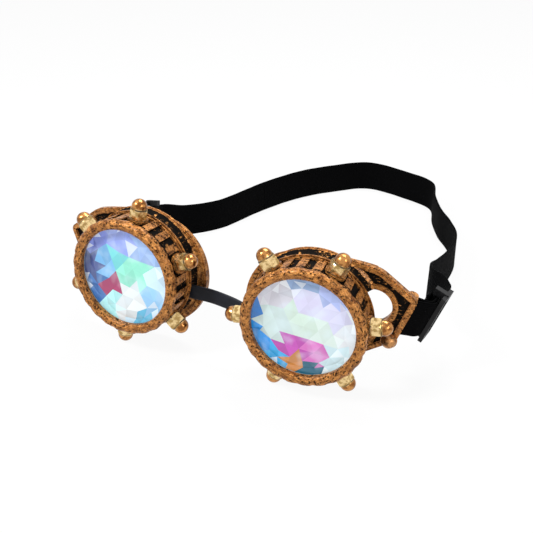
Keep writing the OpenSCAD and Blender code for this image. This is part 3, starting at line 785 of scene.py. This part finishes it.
def lens_front(turn, pitch, relief, rng):
    """Points and triangles of the front. Formula: a triangular lattice inside a hexagon and rings of
    18, 24 and 36 points out to the edge, joined by Delaunay triangles; each point is sunk by one of
    three levels, so every triangle leans its own way. The last 36 points are the edge."""
    i, j = (x.ravel() for x in np.meshgrid(np.arange(-2, 3), np.arange(-2, 3)))
    inside = np.abs(i + j) <= 2
    i, j = i[inside][:, None], j[inside][:, None]
    flat = [pitch * (i * polar(turn, 1) + j * polar(turn + 60, 1))]
    sunk = [0.30 + relief * ((i - j) % 3).ravel()]
    for count, r, depth, shift, stray in (
        (18, 18.6, 0.45, 0.0, 1.0),
        (24, 22.0, 0.75, 0.5, 1.0),
        (EDGE_COUNT, 24.7, 0.32, 0.0, 0.0),
    ):
        k = np.arange(count)
        angle = turn + 360 * (k + shift) / count + stray * rng.uniform(-2.5, 2.5, count)
        flat.append(polar(angle, r + stray * rng.uniform(-0.7, 0.7, count)))
        sunk.append(depth + 0.28 * (k % 2) * stray)
    flat, sunk = np.concatenate(flat), np.concatenate(sunk)
    _, _, facets, *_ = delaunay_2d_cdt([Vector(p) for p in flat], [], [], 0, 1e-6)
    return np.column_stack([flat, LENS_Z + 0.3 - sunk]), [list(f) for f in facets]


def lens_back(turn):
    """Rings from the front's edge round to the back. Formula: the side is plain, and towards the
    middle of the back the angles are drawn together to 12 and then 6 corners, a shallow cut dome."""
    seat = LENS_Z - LENS_EDGE
    angle = turn + 360 * np.arange(EDGE_COUNT) / EDGE_COUNT
    rings = []
    for r, z, corners in (
        (EDGE_R, LENS_Z, EDGE_COUNT),
        (EDGE_R, seat, EDGE_COUNT),
        (22.7, seat, EDGE_COUNT),
        (17.8, seat - 1.8, 12),
        (8.9, seat - 3.9, 6),
    ):
        corner = turn + np.round((angle - turn) * corners / 360) * 360 / corners
        ring = polar(corner + 0.02 * (angle - corner), r)
        rings.append(np.column_stack([ring, np.full(EDGE_COUNT, z)]))
    return np.stack(rings)


def facet_tints(side, middle, plain, rng):
    """Colour of each face: the front's facets, whose middles are given as shares of the lens's
    radius, take the tint that draws them most, a few far ones paled towards white as painted glints,
    and the plain faces a pale blue."""
    seen, n = middle * np.array([side, 1]), len(middle)
    places, pull, tones = (np.array(column) for column in zip(*TINTS[side].values()))
    reach = np.linalg.norm(seen[:, None] - places, axis=2) / pull + rng.uniform(0, 0.05, (n, len(pull)))
    far = np.linalg.norm(seen, axis=1)
    calm = (side == RIGHT) & (far < 0.62) & (seen[:, 1] > -0.3)
    light = np.where(calm, rng.uniform(0.95, 1.04, n), rng.uniform(0.84, 1.10, n))
    # Painted glints: a few far facets paled towards white, as if they caught the light.
    painted_glint = ~calm & (far > 0.6) & (rng.uniform(0, 1, n) < 0.09)
    tone = tones[np.argmin(reach, axis=1)] * light[:, None]
    tone = np.where(painted_glint[:, None], 0.45 * tone + 0.55 * np.array([0.9, 0.96, 1.0]), tone)
    rest = np.array([0.42, 0.62, 0.70]) * rng.uniform(0.75, 1.1, (plain, 1))
    return np.clip(np.concatenate([tone, rest]), 0.005, 1.0)


def lens(side):
    """Faceted glass: the front's triangles, then the rings of its side and back, closed by a flat
    face. The colour attribute 'facet' holds each face's tint."""
    turn, pitch, relief, seed = CUTS[side]
    rng = np.random.default_rng(seed)
    front, facets = lens_front(turn, pitch, relief, rng)
    back = lens_back(turn)
    body = grid_faces(len(back) + 1, EDGE_COUNT, first=len(front) - EDGE_COUNT)
    del body[-2]
    verts = np.concatenate([front, back.reshape(-1, 3)])
    obj = new_mesh(NAMES[side] + "_faceted_lens", in_cup(side, verts), facets + body, smooth_faces=False)
    shell = bmesh.new()
    shell.from_mesh(obj.data)
    bmesh.ops.recalc_face_normals(shell, faces=shell.faces[:])
    shell.to_mesh(obj.data)
    shell.free()

    middle = verts[np.array(facets)].mean(axis=1)[:, :2] / LENS_R
    tints = facet_tints(side, middle, len(body), rng)
    sizes = np.zeros(len(obj.data.polygons), np.int32)
    obj.data.polygons.foreach_get("loop_total", sizes)
    corners = np.repeat(np.column_stack([tints, np.ones(len(tints))]), sizes, axis=0)
    facet = obj.data.color_attributes.new("facet", "FLOAT_COLOR", "CORNER")
    facet.data.foreach_set("color", corners.astype(np.float32).ravel())
    return obj


def lens_glass():
    """Coated glass: each facet's tint, with faint bands of the coating across it and a faint painted glow
    of the same colour.
    """
    mat, t, shader = new_material("lens_glass", Transmission_Weight=0.12, IOR=1.5, Coat_Roughness=0.02)
    tint = t.add("ShaderNodeAttribute", attribute_name="facet").outputs["Color"]
    where = t.in_mm()
    film = t.noise(where, 0.12, 2.0, 0.4)
    chips = t.noise(where, 0.9, 3.0, 0.5)
    color = t.mix(t.math("MULTIPLY", t.step(film, 0.45, 0.7), 0.25), tint, rgb(0.75, 0.9, 1.0))
    t.put(shader["Base Color"], color)
    # Painted glow: the glass gives off a faint light in its own tint, though it is no lamp.
    t.put(shader["Emission Color"], color)
    shader["Emission Strength"].default_value = 0.12
    t.put(shader["Roughness"], t.blend(chips, 0.05, 0.12))
    t.put(shader["Coat Weight"], 0.6)
    t.put(shader["Normal"], t.bump(film, 0.1, 0.0005))
    return mat


# Finishes of the CAD nodes
gasket_rubber = rubber("gasket_rubber", (0.02, 0.019, 0.018), 0.65, 0.3)
black_plastic = rubber("black_plastic", (0.003, 0.003, 0.0034), 0.42, 0.15)
strip_rubber = rubber("strip_rubber", (0.003, 0.004, 0.008), 0.6, 0.12)
pin_bronze = bronze("pin_bronze", (0.42, 0.22, 0.09), 0.3)
rivet_bronze = bronze("rivet_bronze", (0.50, 0.235, 0.085), 0.24)
stud_brass = bronze("stud_brass", (0.5, 0.38, 0.16), 0.35)
black_elastic = elastic("black_elastic", (0.0020, 0.0020, 0.0023))
thread_black = rubber("thread_black", (0.012, 0.012, 0.013), 0.8, 0.1)
coated_glass = lens_glass()
FINISHES = {
    "_ring_studs": stud_brass,
    "_lens_seat": gasket_rubber,
    "_lens_washer": gasket_rubber,
    "_strap_pin": pin_bronze,
    "_ear_rivet": rivet_bronze,
    "_slider": black_plastic,
}


def finish(obj, mat):
    """Gives an object one material in every slot."""
    if not obj.material_slots:
        obj.data.materials.append(mat)
    for s in obj.material_slots:
        s.material = mat


for side in (LEFT, RIGHT):
    name = NAMES[side]
    for piece, paint in PAINTED.items():
        finish(nodes[name + piece], painted_plastic(side, *paint))
    finish(nodes[name + "_cap_nuts"], nut_brass(side))
    for piece, material in FINISHES.items():
        finish(nodes[name + piece], material)


# Hammered rims, lenses, straps and strip


def hammered_rim(side):
    """Lumpy front of a screw ring. Formula: the rim's round section carried round the ring, swollen
    outwards at each of its 24 places by a rounded cosine and everywhere by a sum of three short
    waves, like cast metal; its back lies inside the ring's wall."""
    places, mouth, lump_h, wave_h = 24, 24.43, 0.42, 0.045
    turn = np.linspace(0, 2 * math.pi, 576, endpoint=False)[:, None]
    bow = np.radians(np.linspace(196, -38, 34))[None, :]
    start = math.radians(CUPS[side]["ring_turn"])
    lump = (0.5 + 0.5 * np.cos(places * (turn - start))) ** 0.7
    outer = np.clip(np.cos(bow), 0, 1) ** 0.8
    waves = (
        np.sin(37 * turn + 3.1 * np.sin(5 * turn)) * np.sin(3.0 * bow + 1.7 * np.sin(11 * turn))
        + 0.7 * np.sin(61 * turn + 2.0 * bow + 2.2 * np.sin(7 * turn + bow))
        + 0.5 * np.sin(103 * turn + 1.3 * np.sin(13 * turn) + 4.0 * bow)
    )
    r = RIM_R + lump_h * lump * outer + wave_h * waves
    across = np.maximum(RIM_MID_R + r * np.cos(bow), mouth)
    up = RIM_MID_Z + r * np.sin(bow)
    inner = np.array([[27.1, -0.7], [27.1, 0.5], [24.8, 0.5]])  # (across, up), inside the wall
    across = np.concatenate([across, np.broadcast_to(inner[:, 0], (len(turn), 3))], axis=1)
    up = np.concatenate([up, np.broadcast_to(inner[:, 1], (len(turn), 3))], axis=1)
    grid = np.stack([across * np.cos(turn), across * np.sin(turn), up], axis=-1)
    faces = grid_faces(*across.shape, round_trip=True)
    return new_mesh(NAMES[side] + "_hammered_rim", in_cup(side, grid.reshape(-1, 3)), faces)


for side in (LEFT, RIGHT):
    rim = hammered_rim(side)
    finish(rim, nodes[NAMES[side] + "_screw_ring"].material_slots[0].material)
    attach(rim, NAMES[side] + "_ring")

for side in (LEFT, RIGHT):
    name = NAMES[side]
    glass = lens(side)
    finish(glass, coated_glass)
    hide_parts(name + "_lens")
    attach(glass, name + "_cup")


def strap_end(side):
    """Outer layer of a strap end with its turn round the pin."""
    q = middle_line(side, END_LEN + SEAM_GAP + SEAM_LAP)
    outer = layer(side, 1, q)[::-1]
    turn = pin_turn(side)
    path = np.concatenate([outer, turn])
    wide = np.concatenate([width_line(side, len(q))[::-1], [pin_direction(side)] * len(turn)])
    return band(NAMES[side] + "_woven_end", path, wide, STRAP_W, STRAP_T, step=0.9)


def strap_return(side):
    """Inner layer from the pin back to the slider."""
    q = middle_line(side, -SEAM_GAP)
    inner, start = layer(side, -1, q), pin_turn(side)[-1]
    path = np.concatenate([[start + SEAM_GAP * unit(inner[0] - start)], inner])
    wide = np.concatenate([[pin_direction(side)], width_line(side, len(q))])
    return band(NAMES[side] + "_woven_return", path, wide, STRAP_W, STRAP_T, step=0.9)


def sewn_end(side):
    """End of the strap round the slider's bar."""
    middle = np.array([-LAYER_GAP / 2 - WRAP_R, 0])
    tail = np.array([[middle[0] - WRAP_R, -5]])
    flat = np.concatenate([arc(middle, WRAP_R, 0, 180, 12), tail])
    path = [at_slider(side, out, along) for out, along in flat]
    wide = [slide_width(side)] * len(path)
    return band(NAMES[side] + "_woven_sewn_end", path, wide, STRAP_W, STRAP_T, step=0.5)


def stitches(side):
    """Two rows of stitches through the tail of the sewn end."""
    r, length, pitch, first, across = 0.16, 1.0, 1.6, -8.8, slide_width(side)
    inside = -LAYER_GAP / 2 - 2 * WRAP_R - STRAP_T / 2 - 0.02
    verts, faces = np.zeros((0, 3)), []
    for along in (-2.6, -4.0):
        for k in range(12):
            a = at_slider(side, inside, along) + across * (first + pitch * k)
            stitch = rod(a, a + across * length, r, rings=2, sides=6)
            faces += grid_faces(*stitch.shape[:2], first=len(verts))
            verts = np.concatenate([verts, stitch.reshape(-1, 3)])
    return new_mesh(NAMES[side] + "_stitches", verts, faces)


for side in (LEFT, RIGHT):
    name = NAMES[side]
    for make, node in ((strap_end, "_strap_end"), (strap_return, "_strap_return"), (sewn_end, "_sewn_end")):
        piece = make(side)
        finish(piece, black_elastic)
        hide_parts(name + node)
        if make is strap_return:
            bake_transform(piece)
        else:
            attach(piece, name + ("_band" if make is strap_end else "_buckle"))
    seam = stitches(side)
    finish(seam, thread_black)
    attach(seam, name + "_buckle")

# Head strap: route round the back of the head, in the sketch plan's coordinates
HALF = STRAP_W / 2
ROUTE = [
    [94, 61, 29.5], [87.5, 71, 27], [84.5, 84, 23.5], [85, 100, 19], [86, 128, 13],
    [84.5, 155, HALF], [77, 174, HALF], [68, 190, HALF], [60, 210, HALF], [53, 233, HALF],
    [34, 245, HALF], [4, 254.2, HALF], [-18, 239, HALF], [-36, 219, HALF], [-51, 190, HALF],
    [-64, 154, HALF], [-79, 131, 12],
]


def head_strap():
    """The strap's whole line and width directions, as the CAD source sweeps it."""
    right, left = (
        [at_slider(side, LAYER_GAP / 2, END_LEN + d) for d in (SEAM_GAP, 2, 4.5)] for side in (RIGHT, LEFT)
    )
    q = smooth(right + [np.array(p) - BOX_MID for p in ROUTE] + left[::-1], 5)
    q[:, 2] = np.maximum(q[:, 2], HALF)
    up, i = np.array([0, 0, 1.0]), np.arange(len(q))[:, None]
    wide = up + (slide_width(RIGHT) - up) * (1 - np.clip((i - 5) / 20, 0, 1))
    wide = wide + (slide_width(LEFT) - up) * (1 - np.clip((len(q) - 6 - i) / 10, 0, 1))
    return q, wide


def strap_pieces():
    """Three pieces of the head strap that meet end to end."""
    q, wide = head_strap()
    n = len(q) - 1
    first, last = 35, n - 25
    lengths = path_length(q)
    jobs = [
        ("right_strap_run", 0, first, "right_band", "right_cup"),
        ("back_strap_run", first, last, "right_cup", "left_cup"),
        ("left_strap_run", last, n, "left_cup", "left_band"),
    ]
    for name, i, j, a, b in jobs:
        part = slice(i, j + 1)
        piece = band(name, q[part], wide[part], STRAP_W, STRAP_T, ripple=0.012, start=lengths[i])
        finish(piece, black_elastic)
        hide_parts("head_strap")
        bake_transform(piece)


strap_pieces()


def bridge_strip():
    """Soft strip between the cups, through both neck slots, with a round bead inside each cup."""
    bead_half = BRIDGE_W / 2 + 0.5
    inside = BRIDGE_T + SOFT_GAP - math.sqrt(BORE_R**2 - (BRIDGE_DROP + bead_half) ** 2)
    outside, z = -NECK_R - 3, -15.75
    reaches = np.array([[u, -BRIDGE_DROP, z] for u in (inside, outside + 2.5, outside)])
    left, right = in_cup(LEFT, reaches), in_cup(RIGHT, reaches[::-1])
    bow, span = np.array([0, 2.2, 0]), right[0] - left[2]
    between = [left[2] + 0.3 * span + bow, left[2] + 0.7 * span + bow]
    q = smooth(np.concatenate([left, between, right]), 6)
    beads = []
    for side, middle in ((LEFT, left[0]), (RIGHT, right[2])):
        half = CUPS[side]["up"] * (bead_half - BRIDGE_T / 2)
        beads.append(rod(middle - half, middle + half, BRIDGE_T))
    wide = [[0, 0, 1.0]] * len(q)
    obj = band("soft_bridge", q, wide, BRIDGE_W, BRIDGE_T, step=0.8, selvage=0.0, shells=beads)
    finish(obj, strip_rubber)
    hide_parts("bridge_strip")
    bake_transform(obj)


bridge_strip()

# Floor, light and camera


def seen_directly(t):
    """1 for what the camera sees, also in metal and through glass."""
    path = t.add("ShaderNodeLightPath").outputs
    mirrored = t.math("MAXIMUM", path["Is Glossy Ray"], path["Is Transmission Ray"])
    return t.math("MAXIMUM", path["Is Camera Ray"], mirrored)


def stage():
    """White floor that stays white to the camera but still takes a soft shadow, and a white world
    that lights the goggles with a grey tent."""
    half, drop = 3.0, 0.0004
    mesh = bpy.data.meshes.new("floor")
    corners = [(-half, -half, 0), (half, -half, 0), (half, half, 0), (-half, half, 0)]
    mesh.from_pydata(corners, [], [(0, 1, 2, 3)])
    floor = bpy.data.objects.new("floor", mesh)
    floor.location.z = -drop
    bpy.context.scene.collection.objects.link(floor)
    mat, t, _ = new_material("floor_white", Base_Color=rgb(0.86, 0.86, 0.86), Roughness=0.9)
    glow = t.add("ShaderNodeEmission")
    glow.inputs["Strength"].default_value = 1.0
    both = t.add("ShaderNodeMixShader")
    t.put(both.inputs[0], t.math("MULTIPLY", seen_directly(t), 0.93))
    t.put(both.inputs[1], mat.node_tree.nodes["Principled BSDF"].outputs[0])
    t.put(both.inputs[2], glow.outputs[0])
    t.put(mat.node_tree.nodes["Material Output"].inputs["Surface"], both.outputs[0])
    mesh.materials.append(mat)

    world = bpy.data.worlds.new("studio")
    world.use_nodes = True
    bpy.context.scene.world = world
    w = Tree(world.node_tree)
    back = world.node_tree.nodes["Background"].inputs
    _, _, up = w.split(w.add("ShaderNodeTexCoord").outputs["Generated"])
    tent = w.mix(w.step(up, -0.1, 0.7), rgb(0.13, 0.13, 0.135), rgb(0.36, 0.36, 0.365))
    w.put(back["Color"], w.mix(seen_directly(w), tent, rgb(1, 1, 1)))
    back["Strength"].default_value = 1.0


def lamp(name, where, target, size, power):
    """White rectangular lamp that faces the target."""
    data = bpy.data.lights.new(name, "AREA")
    data.shape = "RECTANGLE"
    data.size, data.size_y = size
    data.energy = power
    obj = bpy.data.objects.new(name, data)
    obj.location = where
    bpy.context.scene.collection.objects.link(obj)
    obj.rotation_euler = (Vector(target) - Vector(where)).to_track_quat("-Z", "Y").to_euler()


def camera():
    """Camera fitted to the photograph."""
    data = bpy.data.cameras.new("photo_camera")
    data.lens, data.sensor_width = 60.79, 36.0
    data.clip_start = 0.01
    obj = bpy.data.objects.new("photo_camera", data)
    obj.location = (0.154277, -0.451336, 0.2366)
    obj.rotation_euler = (math.radians(63.51), 0, math.radians(21.95))
    bpy.context.scene.collection.objects.link(obj)
    bpy.context.scene.camera = obj


stage()
lamp("key", (-0.45, -0.55, 0.75), (0, -0.08, 0.03), (0.26, 0.20), 7.4)
lamp("fill", (0.75, -0.45, 0.40), (0, -0.08, 0.03), (0.20, 0.32), 2.2)
lamp("top", (0.05, 0.25, 0.80), (0, -0.05, 0.03), (0.45, 0.16), 5.0)
camera()
bpy.context.scene.view_settings.view_transform = "Standard"
